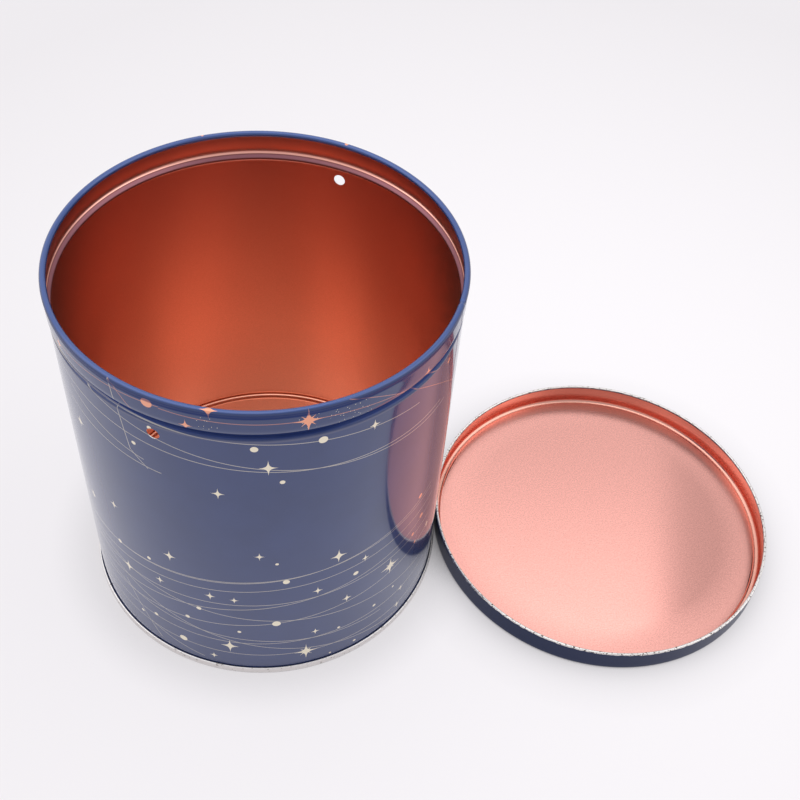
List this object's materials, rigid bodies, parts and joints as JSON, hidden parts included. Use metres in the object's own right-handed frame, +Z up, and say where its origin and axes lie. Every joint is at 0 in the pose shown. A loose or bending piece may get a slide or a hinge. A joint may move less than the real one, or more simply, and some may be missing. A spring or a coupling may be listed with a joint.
{
  "type": "round storage tin with slip lid",
  "caption": "Open round tinplate bucket tin with curled rim, grooved neck, handle holes and a double-seamed base, its slip lid lying upside-down beside it.",
  "frame": {"origin": "centre of the flat underside of the base panel, on the tin's axis, 6.6 mm above the table the foot stands on", "axes": "+Z up along the tin's axis; +X from the tin's axis towards the centre of the lid lying beside it"},
  "size_m": [0.3247, 0.1634, 0.1727],
  "materials": {
    "printed_tinplate": null,
    "bare_tinplate": "bare bright tinplate outside, copper-red lacquer on the face inside the tin",
    "sealing_compound": "soft pale lining compound, hidden in the seam",
    "lacquered_tinplate": "pink copper satin lacquer inside, navy print outside, worn bare along the hem"
  },
  "bodies": {
    "tin": {"body_shell": "printed_tinplate", "base_end": "bare_tinplate", "seam_compound": "sealing_compound"},
    "lid": {"lid": "lacquered_tinplate"}
  },
  "joints": [
    {"name": "lid_turnover", "type": "hinge", "parent": "tin", "child": "lid", "pos_m": [0.0813, 0, 0.0863], "axis": [0, -1, 0], "range_deg": [0, 180]}
  ]
}
